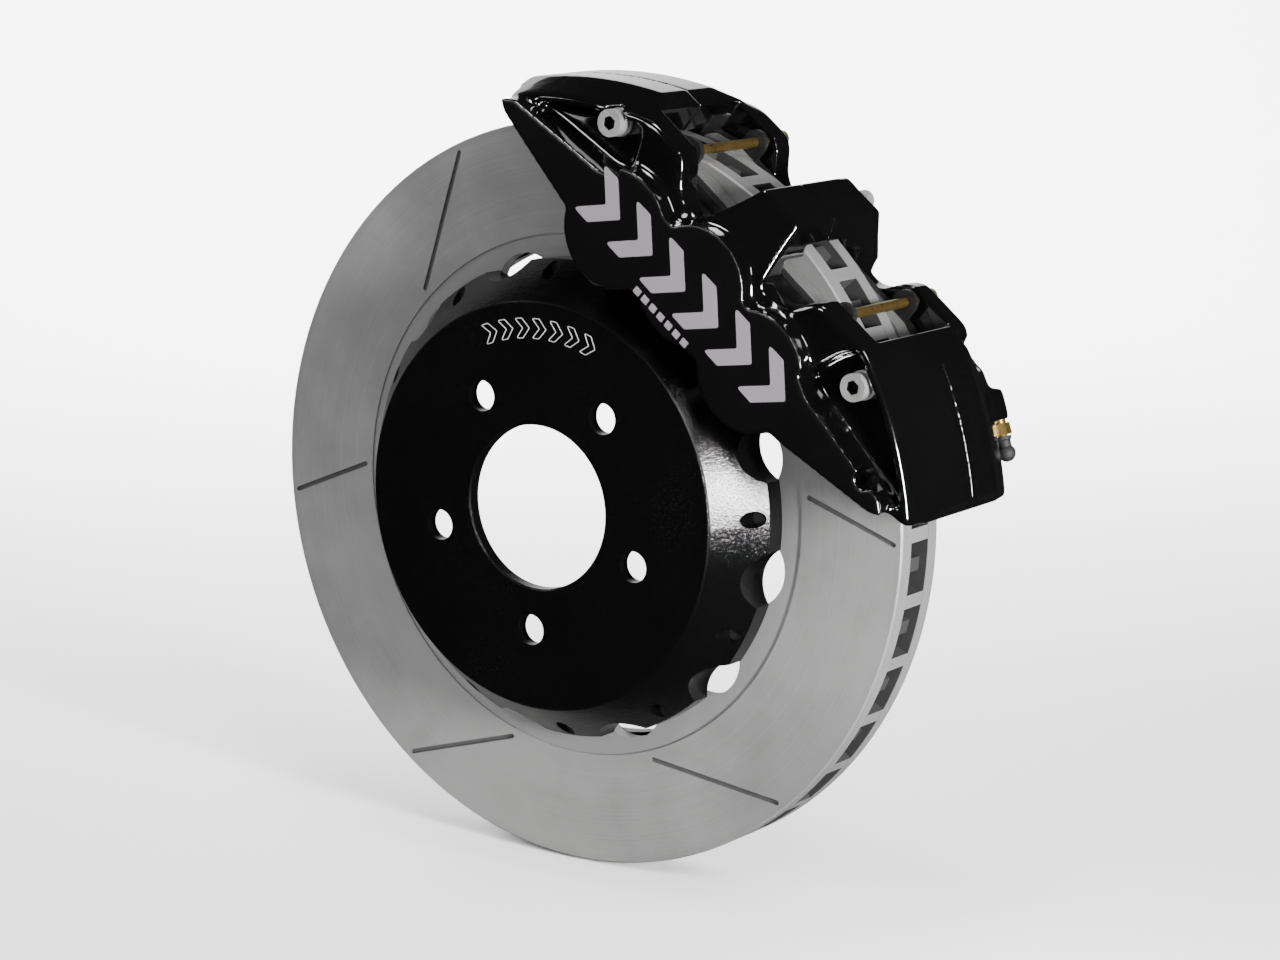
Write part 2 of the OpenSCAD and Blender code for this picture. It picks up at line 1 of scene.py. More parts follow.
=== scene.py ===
"""Looks of a six-piston brake caliper on a slotted brake disc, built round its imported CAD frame."""

import math

import bmesh
import bpy
import numpy as np
from bpy.props import FloatProperty, FloatVectorProperty, IntProperty, PointerProperty
from mathutils import Matrix, Vector


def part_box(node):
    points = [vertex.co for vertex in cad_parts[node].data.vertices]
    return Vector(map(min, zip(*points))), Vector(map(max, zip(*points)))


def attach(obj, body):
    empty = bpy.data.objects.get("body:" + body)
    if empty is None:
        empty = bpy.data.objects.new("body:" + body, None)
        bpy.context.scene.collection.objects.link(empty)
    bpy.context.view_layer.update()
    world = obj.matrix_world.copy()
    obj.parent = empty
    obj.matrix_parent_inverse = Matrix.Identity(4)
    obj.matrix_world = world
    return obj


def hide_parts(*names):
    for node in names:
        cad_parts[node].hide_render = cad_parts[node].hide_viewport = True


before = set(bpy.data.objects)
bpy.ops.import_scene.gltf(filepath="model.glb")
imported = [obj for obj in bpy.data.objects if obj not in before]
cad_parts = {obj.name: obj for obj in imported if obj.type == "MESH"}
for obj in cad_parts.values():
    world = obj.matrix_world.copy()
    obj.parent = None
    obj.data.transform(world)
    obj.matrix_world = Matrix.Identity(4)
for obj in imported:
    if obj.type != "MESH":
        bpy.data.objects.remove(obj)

bl_info = {
    "name": "Brake caliper with disc",
    "version": (1, 0, 0),
    "blender": (4, 5, 0),
    "location": "View3D > Sidebar > Brake",
    "description": "Builds the finishes, castings, marks and studio of a brake caliper with its disc",
    "category": "Object",
}

MM = 0.001
LEAN = math.radians(50)            # the caliper's middle lies this far above horizontal


def node_box(node):
    """Lowest and highest corner of a CAD node in millimetres."""
    low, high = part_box(node)
    return low / MM, high / MM


DISC_LOW, DISC_HIGH = node_box("brake_disc")
DISC_R = DISC_HIGH.x
DISC_FRONT = DISC_LOW.y
DISC_BACK = DISC_HIGH.y
DISC_T = DISC_BACK - DISC_FRONT
DISC_MID = (DISC_FRONT + DISC_BACK) / 2
SWEPT_R = 127.2                    # inner radius of the ground friction faces
HAT_FACE = node_box("disc_hat")[0].y
PLATE_FACE = DISC_MID - node_box("outboard_caliper_half")[0].y
END_BOLT_U = 86.0                  # the end body bolts' place along the rim, at either end

# Hex sockets: u, v, radius, the bolt head's y, and which way along y leads inside.
END_BOLT_SOCKET = (END_BOLT_U, 167.85, 3.9, -5.6, 1)
BRIDGE_BOLT_SOCKET = (0.0, 189.1, 3.2, 89.9, -1)

# Mix node sockets that share their names with others, so they go by number.
MIX_FACTOR, MIX_FIRST, MIX_SECOND, MIX_RESULT = 0, 6, 7, 2


def along_rim(u, v, s):
    """World point of a caliper place: u along the rim, v from the spin axis, s outboard of the disc."""
    x = u * math.sin(LEAN) + v * math.cos(LEAN)
    z = -u * math.cos(LEAN) + v * math.sin(LEAN)
    return Vector((x, DISC_MID - s, z)) * MM


# ---- shader maths ----

class Wire:
    """A shader socket that can be used in Python sums."""

    def __init__(self, nodes, socket):
        self.nodes = nodes
        self.socket = socket

    def join(self, operation, *inputs):
        return self.nodes.node("ShaderNodeMath", {"operation": operation}, *inputs)

    def __add__(self, other):
        return self.join("ADD", self, other)

    __radd__ = __add__

    def __sub__(self, other):
        return self.join("SUBTRACT", self, other)

    def __rsub__(self, other):
        return self.join("SUBTRACT", other, self)

    def __mul__(self, other):
        return self.join("MULTIPLY", self, other)

    __rmul__ = __mul__

    def root(self):
        return self.join("SQRT", self)


class Nodes:
    """A node tree that starts empty and grows node by node."""

    def __init__(self, tree):
        self.tree = tree
        self.tree.nodes.clear()

    def node(self, kind, settings, *values, output=0, numbered=None, **named):
        """Adds a node: its settings first, then the values or wires of its sockets.

        Sockets go in order, by number, or by name with _ for a space. The wire of one output
        comes back, or the wires of all outputs when output is None.
        """
        made = self.tree.nodes.new(kind)
        for key, value in settings.items():
            setattr(made, key, value)
        sockets = {**dict(enumerate(values)), **(numbered or {})}
        sockets.update((key.replace("_", " "), value) for key, value in named.items())
        for key, value in sockets.items():
            if isinstance(value, Wire):
                self.tree.links.new(value.socket, made.inputs[key])
            elif value is not None:
                made.inputs[key].default_value = value
        if output is None:
            return [Wire(self, socket) for socket in made.outputs]
        return Wire(self, made.outputs[output])


class Finish(Nodes):
    """The nodes of a material."""

    def __init__(self, name):
        self.material = bpy.data.materials.new(name)
        self.material.use_nodes = True
        super().__init__(self.material.node_tree)
        self.place = self.node("ShaderNodeTexCoord", {}, output="Object")

    def axes(self):
        """The three wires of the place on the object, in millimetres."""
        scaled = self.node("ShaderNodeVectorMath", {"operation": "SCALE"}, self.place, Scale=1 / MM)
        return self.node("ShaderNodeSeparateXYZ", {}, scaled, output=None)

    def stretched(self, x, y, z):
        """The place with each axis scaled."""
        return self.node("ShaderNodeVectorMath", {"operation": "MULTIPLY"}, self.place, (x, y, z))

    def grain(self, scale, detail=3.0, rough=0.5, at=None):
        """Noise from 0 to 1 with so many grains to the metre."""
        return self.node("ShaderNodeTexNoise", {}, at or self.place,
                         Scale=scale, Detail=detail, Roughness=rough)

    def band(self, value, low, high):
        """0 below low, 1 above high, smooth between."""
        settings = {"interpolation_type": "SMOOTHSTEP"}
        return self.node("ShaderNodeMapRange", settings, value, low, high, 0.0, 1.0)

    def blend(self, mask, first, second):
        """The first colour where the mask is 0 and the second where it is 1."""
        colours = {MIX_FACTOR: mask, MIX_FIRST: first, MIX_SECOND: second}
        return self.node("ShaderNodeMix", {"data_type": "RGBA"}, numbered=colours, output=MIX_RESULT)

    def relief(self, height, depth, under=None):
        """A bump as deep as the given millimetres."""
        return self.node("ShaderNodeBump", {}, 1.0, depth * MM, Height=height, Normal=under)

    def done(self, **sockets):
        """Ends the material in a Principled shader."""
        shader = self.node("ShaderNodeBsdfPrincipled", {}, **sockets)
        self.node("ShaderNodeOutputMaterial", {}, shader, output=None)
        return self.material


def shade(value):
    """A grey as a colour with its alpha."""
    return (value, value, value, 1.0)


def rgba(colour, times=1.0):
    """A colour with its alpha, made darker or paler by a factor."""
    return (*[part * times for part in colour], 1.0)


# ---- finishes ----

def disc_iron(look):
    """Ground friction faces, turned rim and edges, and as-cast vents between the plates, darkened
    almost black as painted shade; the slot walls carry painted shade too.
    """
    m = Finish("Ground disc iron")
    x, y, z = m.axes()
    r = (x * x + z * z).root()
    depth = y - DISC_FRONT
    cast_from, cast_full = 7.2, 7.6             # depth under a friction face where the vents begin
    slot_top, slot_floor = (0.3, 0.55), (1.25, 1.5)
    # The vents' inside: rough as-cast iron, with its colour darkened almost black as painted shade.
    between = m.band(depth, cast_from, cast_full)
    between = between * (1 - m.band(depth, DISC_T - cast_full, DISC_T - cast_from))
    between = between * (1 - m.band(r, DISC_R - 0.35, DISC_R - 0.15))
    rim = m.band(r, DISC_R - 0.9, DISC_R - 0.7)
    inset = m.node("ShaderNodeMath", {"operation": "MINIMUM"}, depth, DISC_T - depth)
    # Painted shade: this marks the walls and floors of the cuts, down to 1.5 mm under a friction face,
    # to be darkened.
    slot_shade = m.band(inset, *slot_top) * (1 - m.band(inset, *slot_floor))
    slot_shade = slot_shade * m.band(r, SWEPT_R + 0.3, SWEPT_R + 0.6) * (1 - rim)
    ring = m.node("ShaderNodeCombineXYZ", {}, r * 0.9, y * 0.02, 0.0)
    rings = m.grain(1.0, 6.0, 0.75, ring)
    fine = m.node("ShaderNodeCombineXYZ", {}, r * 5.0, x * 0.02, z * 0.02)
    hair = m.grain(1.0, 4.0, 0.7, fine)
    cloud = m.grain(9.0, 5.0, 0.6)
    speck = m.grain(900.0, 2.0, 0.6)
    wear = m.band(cloud * 0.65 + rings * 0.2 + hair * 0.15, 0.38, 0.62)
    tone = m.blend(wear, rgba(look.iron_colour, 0.8), rgba(look.iron_colour, 1.25))
    tone = m.blend(speck * 0.22, tone, shade(0.2))
    inner = (1 - m.band(r, SWEPT_R - 0.6, SWEPT_R)) * 0.3
    tone = m.blend(inner, tone, shade(0.2))
    tone = m.blend(rim * 0.5, tone, shade(0.13))
    # Painted shade: the cut slot walls are darkened where shade falls inside them.
    tone = m.blend(slot_shade * 0.8, tone, shade(0.05))
    # Painted shade: the vents take a near-black tone standing in for the shade inside them, over their
    # darker as-cast iron.
    tone = m.blend(between * 0.97, tone, rgba(look.vent_cast_and_shade_colour))
    rough = look.iron_roughness + (hair - 0.5) * 0.12 + (cloud - 0.5) * 0.1
    rough = rough + between * 0.4 - rim * 0.06
    pits = m.grain(1500.0, 3.0, 0.7)
    bump = m.relief(hair * (1 - between), 0.012)
    bump = m.relief(rings * (1 - between), 0.02, bump)
    bump = m.relief(pits * between, 0.12, bump)
    metallic = (1 - between) * look.iron_metallic
    return m.done(Base_Color=tone, Metallic=metallic, Roughness=rough, Normal=bump)


def hat_black(look):
    """Black powder coat with a fine orange peel; its flat face is duller than the cone."""
    m = Finish("Powder coated black")
    y = m.axes()[1]
    face = 1 - m.band(y, HAT_FACE + 0.3, HAT_FACE + 1.2)
    peel = m.grain(650.0, 3.0, 0.6)
    fine = m.grain(1300.0, 2.0, 0.6)
    cloud = m.grain(20.0, 3.0, 0.5)
    tone = m.blend(cloud * 0.5 + fine * 0.3, shade(0.0006), shade(0.002))
    rough = look.hat_roughness + face * 0.1 + (cloud - 0.5) * 0.05 + (fine - 0.5) * 0.1
    bump = m.relief(peel, 0.12)
    bump = m.relief(fine, 0.05, bump)
    return m.done(Base_Color=tone, Roughness=rough, Normal=bump, Specular_IOR_Level=0.3)


def caliper_enamel(look):
    """Deep gloss black over a casting; the flat machined front plate carries a satin coat."""
    m = Finish("Gloss black enamel")
    y = m.axes()[1]
    front = 1 - m.band(y, DISC_MID - PLATE_FACE + 0.25, DISC_MID - PLATE_FACE + 0.9)
    peel = m.grain(150.0, 2.0, 0.4)
    dust = m.grain(2600.0, 2.0, 0.6)
    cloud = m.grain(26.0, 3.0, 0.5)
    tone = m.blend(cloud * 0.6 + dust * 0.3, rgba(look.enamel_colour), shade(0.0016))
    rough = look.enamel_roughness + front * 0.22 + (cloud - 0.5) * 0.03 + (dust - 0.5) * 0.03
    bump = m.relief(peel, 0.03)
    bump = m.relief(dust * front, 0.004, bump)
    return m.done(Base_Color=tone, Roughness=rough, Normal=bump, Specular_IOR_Level=0.45,
                  Coat_Weight=1 - front * 0.85, Coat_Roughness=0.04)


def socket_shade(m, socket):
    """1 inside a hex socket and 0 outside; a socket away from the middle is met at both ends."""
    at_u, at_v, radius, head, inwards = socket
    x, y, z = m.axes()
    sine, cosine = math.sin(LEAN), math.cos(LEAN)
    u = x * sine - z * cosine
    v = x * cosine + z * sine
    side = m.node("ShaderNodeMath", {"operation": "ABSOLUTE"}, u) - at_u
    rise = v - at_v
    away = (side * side + rise * rise).root()
    inside = 1 - m.band(away, radius - 0.3, radius + 0.1)
    return inside * m.band((y - head) * inwards, 0.2, 0.8)


def plated_steel(name, colour, roughness, streak=(1.0, 1.0, 1.0), scratch=0.01, scale=700.0,
                 metal=1.0, sockets=(), painted_shade_below=None):
    """Bright plated or ground metal with handling marks and a soft cloud in its tone; hex sockets and
    the part below a given y are darkened as painted shade.
    """
    m = Finish(name)
    lines = m.grain(scale, 4.0, 0.65, m.stretched(*streak))
    cloud = m.grain(90.0, 4.0, 0.6)
    spots = m.grain(420.0, 2.0, 0.7)
    tone = m.blend(m.band(cloud * 0.6 + lines * 0.4, 0.3, 0.6), rgba(colour, 0.62), rgba(colour))
    tone = m.blend(m.band(spots, 0.62, 0.75) * 0.35, tone, rgba(colour, 0.45))
    for socket in sockets:
        tone = m.blend(socket_shade(m, socket), tone, shade(0.012))
    # Painted shade: below the given y, as inside the hat's bolt holes, the metal is darkened almost
    # black.
    if painted_shade_below is not None:
        y = m.axes()[1]
        tone = m.blend((1 - m.band(y, painted_shade_below - 1.0, painted_shade_below)) * 0.92, tone, shade(0.01))
    rough = roughness + (lines - 0.5) * 0.18 + (cloud - 0.5) * 0.12
    bump = m.relief(lines, scratch)
    return m.done(Base_Color=tone, Metallic=metal, Roughness=rough, Normal=bump)


def moulded_rubber(name, value):
    """Matt rubber with a fine moulded skin and a little bloom."""
    m = Finish(name)
    skin = m.grain(1600.0, 3.0, 0.6)
    bloom = m.grain(120.0, 4.0, 0.6)
    tone = m.blend(m.band(bloom, 0.4, 0.7), shade(value), shade(value * 1.8))
    rough = 0.66 + (skin - 0.5) * 0.2
    bump = m.relief(skin, 0.02)
    return m.done(Base_Color=tone, Roughness=rough, Normal=bump, Specular_IOR_Level=0.3)


def pad_backing():
    """Powder coated steel of a pad's backing plate."""
    m = Finish("Coated pad steel")
    peel = m.grain(700.0, 3.0, 0.6)
    cloud = m.grain(40.0, 4.0, 0.6)
    tone = m.blend(m.band(cloud, 0.35, 0.65), shade(0.004), shade(0.009))
    rough = 0.42 + (peel - 0.5) * 0.16
    return m.done(Base_Color=tone, Roughness=rough, Metallic=0.2, Normal=m.relief(peel, 0.03))


def friction_lining(look):
    """Sintered lining: grey compound with dark grains and bright metal flecks."""
    m = Finish("Friction lining")
    grains = m.grain(800.0, 5.0, 0.75)
    cell = m.node("ShaderNodeTexVoronoi", {}, m.place, Scale=1300.0)
    fleck = 1 - m.band(cell, 0.08, 0.2)
    dark = m.band(grains, 0.52, 0.66)
    tone = m.blend(dark * 0.6, rgba(look.lining_colour), shade(0.07))
    tone = m.blend(fleck * 0.6, tone, (0.5, 0.46, 0.4, 1.0))
    rough = 0.75 - fleck * 0.3
    bump = m.relief(grains - fleck * 0.4, 0.12)
    return m.done(Base_Color=tone, Roughness=rough, Metallic=fleck * 0.7, Normal=bump)


def printed_mark(name, colour):
    """Thin opaque ink with an even satin skin."""
    m = Finish(name)
    mottle = m.grain(600.0, 3.0, 0.6)
    cloud = m.grain(60.0, 2.0, 0.5)
    tone = m.blend(mottle * 0.5 + cloud * 0.4, rgba(colour), rgba(colour, 0.84))
    rough = 0.55 + (mottle - 0.5) * 0.1
    return m.done(Base_Color=tone, Roughness=rough, Normal=m.relief(mottle, 0.006))


def studio_paper(colour):
    """Pale seamless paper."""
    m = Finish("Pale studio paper")
    fibre = m.grain(60.0, 4.0, 0.6)
    tone = m.blend(fibre * 0.3, rgba(colour), rgba(colour, 0.985))
    return m.done(Base_Color=tone, Roughness=0.9)


# ---- making pieces ----

def link(piece):
    """Puts a new object into the scene."""
    bpy.context.scene.collection.objects.link(piece)
    return piece


def dress(node, material, bevel=0.0, segments=2, angle=35.0):
    """Gives a CAD node its finish, and breaks its sharp edges by the given millimetres."""
    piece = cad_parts[node]
    piece.data.materials.clear()
    piece.data.materials.append(material)
    if bevel:
        edge = piece.modifiers.new("Broken edges", "BEVEL")
        edge.width = bevel * MM
        edge.segments = segments
        edge.limit_method = "ANGLE"
        edge.angle_limit = math.radians(angle)
        edge.use_clamp_overlap = True
        edge.harden_normals = True
        edge.miter_outer = "MITER_ARC"
    return piece


def ramp(value, low, high):
    """0 below low, 1 above high, smooth between, on arrays."""
    t = np.clip((value - low) / (high - low), 0.0, 1.0)
    return t * t * (3.0 - 2.0 * t)


def relax(points, edges, weight, passes):
    """Draws each point towards the mean of its neighbours, as far as its weight says."""
    count = len(points)
    a, b = edges[:, 0], edges[:, 1]
    degree = np.bincount(a, minlength=count) + np.bincount(b, minlength=count)
    degree = np.maximum(degree, 1).astype(float)
    for _ in range(passes):
        for axis in range(3):
            line = points[:, axis]
            total = np.bincount(a, line[b], count) + np.bincount(b, line[a], count)
            points[:, axis] = line + weight * 0.5 * (total / degree - line)
    return points


def casting_softness(points):
    """How far each place of a caliper half is rounded: cast walls much, machined faces hardly."""
    u, s, v = points[:, 0], np.abs(points[:, 1]), points[:, 2]
    end = np.abs(u)
    wall_s, joint_s = (31.0, 36.0), (0.3, 2.0)
    bridge_u, bridge_v = (18.0, 28.0), (160.0, 172.0)
    seat_v, seat_reach = 167.9, (7.6, 11.0)
    pocket_s, pocket_u, pocket_v = (34.0, 37.0), (78.0, 82.0), (184.5, 187.0)
    wall = ramp(s, *wall_s) * (1.0 - ramp(s, PLATE_FACE - 3.5, PLATE_FACE - 1.0))
    weight = 0.14 + 0.86 * wall
    bridge = (1.0 - ramp(end, *bridge_u)) * ramp(v, *bridge_v)
    weight = weight * (1.0 - 0.8 * bridge)
    for at_u in (-END_BOLT_U, END_BOLT_U):
        reach = np.hypot(u - at_u, v - seat_v)
        weight = weight * (0.12 + 0.88 * ramp(reach, *seat_reach))
    pocket = (1.0 - ramp(s, *pocket_s)) * (1.0 - ramp(end, *pocket_u))
    pocket = pocket * (1.0 - ramp(v, *pocket_v))
    return weight * ramp(s, *joint_s) * (1.0 - pocket)


def cast_copy(node, name, look):
    """A copy of a caliper half with a closed skin whose cast edges are rounded over."""
    turn = Matrix.Rotation(-(math.pi / 2 - LEAN), 4, "Y")
    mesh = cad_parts[node].data.copy()
    mesh.transform(turn)
    mesh.transform(Matrix.Translation((0.0, -DISC_MID * MM, 0.0)))
    piece = link(bpy.data.objects.new(name, mesh))
    skin = piece.modifiers.new("Skin", "REMESH")
    skin.mode = "VOXEL"
    skin.voxel_size = look.skin_step
    skin.use_smooth_shade = True
    graph = bpy.context.evaluated_depsgraph_get()
    solid = bpy.data.meshes.new_from_object(piece.evaluated_get(graph))
    piece.modifiers.clear()
    piece.data = solid
    count = len(solid.vertices)
    if count < 1000:
        raise RuntimeError(f"{name} came out empty")
    points = np.empty(count * 3)
    solid.vertices.foreach_get("co", points)
    points = points.reshape(-1, 3) / MM
    edges = np.empty(len(solid.edges) * 2, np.int64)
    solid.edges.foreach_get("vertices", edges)
    points = relax(points, edges.reshape(-1, 2), casting_softness(points), look.softening)
    solid.vertices.foreach_set("co", (points * MM).ravel())
    solid.transform(Matrix.Translation((0.0, DISC_MID * MM, 0.0)))
    solid.transform(turn.inverted())
    solid.name = name
    solid.update()
    return piece


def raised_shapes(name, outlines, place, thickness):
    """Thin plates in one mesh, one for each closed outline of (u, v) places."""
    bm = bmesh.new()
    for outline in outlines:
        low = [bm.verts.new(place(u, v, 0.0)) for u, v in outline]
        high = [bm.verts.new(place(u, v, thickness)) for u, v in outline]
        bm.faces.new(low)
        bm.faces.new(high)
        for k in range(len(outline)):
            n = (k + 1) % len(outline)
            bm.faces.new((low[k], low[n], high[n], high[k]))
    bmesh.ops.recalc_face_normals(bm, faces=bm.faces[:])
    mesh = bpy.data.meshes.new(name)
    bm.to_mesh(mesh)
    bm.free()
    return link(bpy.data.objects.new(name, mesh))


def rounded(points, radius, steps=5):
    """A closed outline with each corner replaced by an arc."""
    out = []
    count = len(points)
    for k in range(count):
        here = Vector(points[k])
        back = Vector(points[k - 1]) - here
        ahead = Vector(points[(k + 1) % count]) - here
        half = back.angle(ahead) / 2
        reach = min(radius / math.tan(half), back.length * 0.45, ahead.length * 0.45)
        first = here + back.normalized() * reach
        last = here + ahead.normalized() * reach
        for j in range(steps + 1):
            t = j / steps
            p = first * (1 - t) ** 2 + here * 2 * t * (1 - t) + last * t * t
            out.append((p.x, p.y))
    return out


def chevron(width, height, stroke):
    """An arrow-shaped bend, pointing along +x, centred on the origin."""
    h = height / 2
    tip = width / 2
    lead = -width / 2
    arm = stroke * 1.35
    return [(lead, h), (lead + arm, h), (tip, 0), (lead + arm, -h), (lead, -h), (tip - arm, 0)]


def ribbon_outline(name, outline, place, radius):
    """A thin closed line along an outline, as a curve with a round section."""
    curve = bpy.data.curves.new(name, "CURVE")
    curve.dimensions = "3D"
    curve.bevel_depth = radius * MM
    curve.bevel_resolution = 2
    line = curve.splines.new("POLY")
    line.points.add(len(outline) - 1)
    for point, (a, b) in zip(line.points, outline):
        point.co = (*place(a, b), 1.0)
    line.use_cyclic_u = True
    return curve


# ---- sizes and colours ----

class CaliperLook(bpy.types.PropertyGroup):
    """Finish of the caliper's castings and the mark on its face."""

    skin_step: FloatProperty(name="Skin step", description="Mesh step of the castings' skin",
                             default=0.0009, min=0.0005, max=0.003, subtype="DISTANCE", unit="LENGTH")
    softening: IntProperty(name="Softening", description="Rounding passes over cast edges",
                           default=48, min=0, max=120)
    enamel_colour: FloatVectorProperty(name="Enamel", description="Colour of the gloss enamel",
                                       default=(0.0006, 0.0006, 0.0007), subtype="COLOR", min=0, max=1)
    enamel_roughness: FloatProperty(name="Enamel roughness",
                                    description="Roughness under the clear coat",
                                    default=0.1, min=0, max=1, subtype="FACTOR")
    mark_colour: FloatVectorProperty(name="Mark", description="Ink of the printed chevrons",
                                     default=(0.16, 0.138, 0.156), subtype="COLOR", min=0, max=1)
    mark_height: FloatProperty(name="Mark height", description="Height of the printed chevrons",
                               default=0.027, min=0.01, max=0.03, subtype="DISTANCE", unit="LENGTH")


class DiscLook(bpy.types.PropertyGroup):
    """Finish of the disc, its hat and the pads."""

    iron_colour: FloatVectorProperty(name="Iron", description="Tone of the ground friction faces",
                                     default=(0.19, 0.188, 0.185), subtype="COLOR", min=0, max=1)
    iron_roughness: FloatProperty(name="Iron roughness",
                                  description="Roughness of the ground faces",
                                  default=0.46, min=0, max=1, subtype="FACTOR")
    iron_metallic: FloatProperty(name="Iron metallic",
                                 description="Share of metal in the iron's look",
                                 default=0.4, min=0, max=1, subtype="FACTOR")
    # Near black: the as-cast iron of the vents, darkened further as painted shade for the shade inside
    # them.
    vent_cast_and_shade_colour: FloatVectorProperty(name="Vents", description="Tone of the as-cast vents",
                                     default=(0.004, 0.004, 0.0042), subtype="COLOR", min=0, max=1)
    hat_roughness: FloatProperty(name="Hat roughness",
                                 description="Roughness of the hat's powder coat",
                                 default=0.15, min=0, max=1, subtype="FACTOR")
    lining_colour: FloatVectorProperty(name="Lining", description="Tone of the friction lining",
                                       default=(0.045, 0.0445, 0.044), subtype="COLOR", min=0, max=1)
    hat_mark_colour: FloatVectorProperty(name="Hat mark",
                                         description="Ink of the outlines on the hat",
                                         default=(0.3, 0.3, 0.31), subtype="COLOR", min=0, max=1)


class StageLook(bpy.types.PropertyGroup):
    """Paper, lamps and camera."""

    paper_colour: FloatVectorProperty(name="Paper", description="Colour of the seamless paper",
                                      default=(0.93, 0.93, 0.93), subtype="COLOR", min=0, max=1)
    room_light: FloatProperty(name="Room light",
                              description="Strength of the even light of the room",
                              default=0.9, min=0, max=5)
    gloss_light: FloatProperty(name="Gloss light",
                               description="Strength of the room in polished surfaces",
                               default=0.02, min=0, max=5)
    horizon_light: FloatProperty(name="Horizon light",
                                 description="Brightness of the room beyond the paper",
                                 default=3.0, min=0, max=10)
    lamp_power: FloatProperty(name="Lamp power", description="Strength of all soft boxes together",
                              default=1.0, min=0, max=10, subtype="FACTOR")
    lens: FloatProperty(name="Lens", description="Focal length for a 36 mm sensor",
                        default=98.63, min=20, max=300, unit="CAMERA")


# Soft boxes: place, target, width and height in metres, watts, and spread in degrees.
SOFT_BOXES = {
    "overhead": ((0.15, -0.1, 1.5), (0.0, 0.0, 0.0), 0.45, 0.35, 5.0, 120),
    "right": ((1.3, -0.36, 0.1), (0.1, 0.0, 0.0), 0.16, 0.42, 10.0, 60),
    "key": ((1.5, -1.1, 1.3), (0.0, 0.0, 0.0), 0.45, 0.45, 4.0, 100),
    "left": ((-1.4, -0.8, 1.2), (0.0, 0.0, 0.0), 0.9, 0.7, 4.5, 100),
    "front": ((-0.55, -1.75, 1.4), (0.0, 0.0, 0.0), 0.7, 0.5, 4.0, 100),
    "rear": ((-1.1, 1.4, 0.45), (0.0, 0.0, 0.1), 1.8, 1.2, 4.0, 120),
    "backdrop": ((-0.7, 1.0, 2.4), (-1.3, 2.0, 0.1), 2.2, 1.6, 150.0, 90),
}
ROOM_COLOUR = (0.96, 0.98, 1.0, 1.0)

# The camera's place in metres and its axes; the paper runs away from it and to its sides.
CAMERA_PLACE = (0.9719, -1.3167, 0.3210)
CAMERA_AHEAD = (-0.56135, 0.80653, -0.18545)
CAMERA_RIGHT = (0.82077, 0.57126, 0.0)
PAPER_AWAY = Vector((-0.571, 0.821, 0.0))
PAPER_SIDE = Vector((0.821, 0.571, 0.0))


# ---- operators ----

class BRAKE_OT_castings(bpy.types.Operator):
    """Build both caliper halves with rounded cast edges and gloss enamel"""

    bl_idname = "brake.castings"
    bl_label = "Caliper castings"

    def execute(self, context):
        look = context.scene.caliper_look
        enamel = caliper_enamel(look)
        for side in ("outboard", "inboard"):
            node = f"{side}_caliper_half"
            piece = cast_copy(node, f"{side}_casting", look)
            piece.data.materials.clear()
            piece.data.materials.append(enamel)
            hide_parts(node)
            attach(piece, "caliper")
        return {"FINISHED"}


class BRAKE_OT_disc(bpy.types.Operator):
    """Finish the brake disc in ground and cast iron, with painted shade in its vents and slot walls"""

    bl_idname = "brake.disc"
    bl_label = "Brake disc"

    def execute(self, context):
        dress("brake_disc", disc_iron(context.scene.disc_look))
        return {"FINISHED"}


class BRAKE_OT_hat(bpy.types.Operator):
    """Finish the hat in black powder coat with broken edges"""

    bl_idname = "brake.hat"
    bl_label = "Disc hat"

    def execute(self, context):
        dress("disc_hat", hat_black(context.scene.disc_look), 0.35)
        return {"FINISHED"}


class BRAKE_OT_fasteners(bpy.types.Operator):
    """Finish bolts, washers and the gallery plug"""

    bl_idname = "brake.fasteners"
    bl_label = "Bolts and plug"

    def execute(self, context):
        bolt = (0.5, 0.5, 0.49)
        zinc = plated_steel("Zinc plated bolts", bolt, 0.36, scratch=0.02, metal=0.75,
                            sockets=(END_BOLT_SOCKET, BRIDGE_BOLT_SOCKET))
        washer = plated_steel("Zinc plated washers", (0.62, 0.62, 0.62), 0.42,
                              scratch=0.02, metal=0.6)
        black = plated_steel("Black oxide plug", (0.05, 0.05, 0.055), 0.3, scratch=0.02)
        # The hat bolts' ends inside the hat's holes get painted shade.
        hat_zinc = plated_steel("Zinc plated hat bolts", bolt, 0.36, scratch=0.02, metal=0.75,
                                painted_shade_below=DISC_FRONT)
        dress("hat_bolts", hat_zinc, 0.5, 3)
        for node in ("end_body_bolts", "bridge_bolt"):
            dress(node, zinc, 0.5, 3)
        for node in ("hat_bolt_washers", "end_body_bolt_washers"):
            dress(node, washer, 0.2)
        dress("gallery_plug", black, 0.3)
        return {"FINISHED"}


class BRAKE_OT_pistons(bpy.types.Operator):
    """Finish pistons, seals, dust boots and wear plates"""

    bl_idname = "brake.pistons"
    bl_label = "Pistons and seals"

    def execute(self, context):
        ground = plated_steel("Ground stainless", (0.66, 0.66, 0.65), 0.22, (1, 12, 1), 0.006, 240.0)
        sheet = plated_steel("Rolled stainless", (0.2, 0.2, 0.205), 0.34, (1, 6, 1), scale=300.0)
        rubber = moulded_rubber("Black seal rubber", 0.012)
        for side in ("outboard", "inboard"):
            for place in ("leading", "middle", "trailing"):
                dress(f"{side}_{place}_piston", ground, 0.4)
            dress(f"{side}_piston_seals", rubber, 0.2)
            dress(f"{side}_dust_boots", rubber, 0.4)
        dress("crossover_seals", rubber, 0.2)
        for end in ("upper", "lower"):
            dress(f"{end}_wear_plates", sheet, 0.15)
        return {"FINISHED"}


